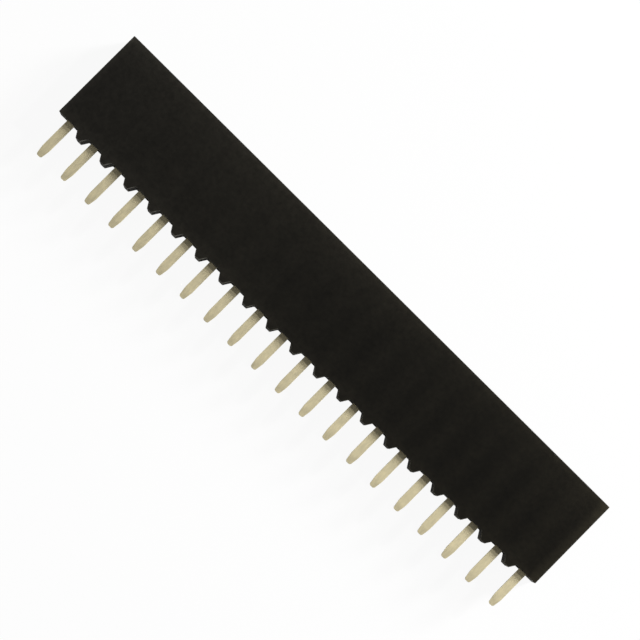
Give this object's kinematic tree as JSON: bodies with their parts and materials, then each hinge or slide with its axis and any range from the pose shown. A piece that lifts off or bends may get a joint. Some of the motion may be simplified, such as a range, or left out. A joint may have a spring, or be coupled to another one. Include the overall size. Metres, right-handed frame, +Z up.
{
  "type": "rectangular socket connector",
  "caption": "In-line rectangular socket connector for circuit boards: moulded housing with standoff feet, square lead-ins for header pins and straight through-hole solder tails.",
  "frame": {"origin": "on the back face's plane, which the part lies on, halfway along the row and halfway between the tail tips and the mating face", "axes": "+X along the row, +Y out of the mating face with the tails towards -Y, +Z up, out of the front face"},
  "size_m": [0.0508, 0.0116, 0.0025],
  "materials": {
    "housing_plastic": "black glass-filled polyester, moulded, fine satin",
    "contact_tin": "matt tin plating over a copper alloy"
  },
  "bodies": {
    "root": {"housing": "housing_plastic", "contact_01": "contact_tin", "contact_02": "contact_tin", "contact_03": "contact_tin", "contact_04": "contact_tin", "contact_05": "contact_tin", "contact_06": "contact_tin", "contact_07": "contact_tin", "contact_08": "contact_tin", "contact_09": "contact_tin", "contact_10": "contact_tin", "contact_11": "contact_tin", "contact_12": "contact_tin", "contact_13": "contact_tin", "contact_14": "contact_tin", "contact_15": "contact_tin", "contact_16": "contact_tin", "contact_17": "contact_tin", "contact_18": "contact_tin", "contact_19": "contact_tin", "contact_20": "contact_tin"}
  },
  "joints": []
}
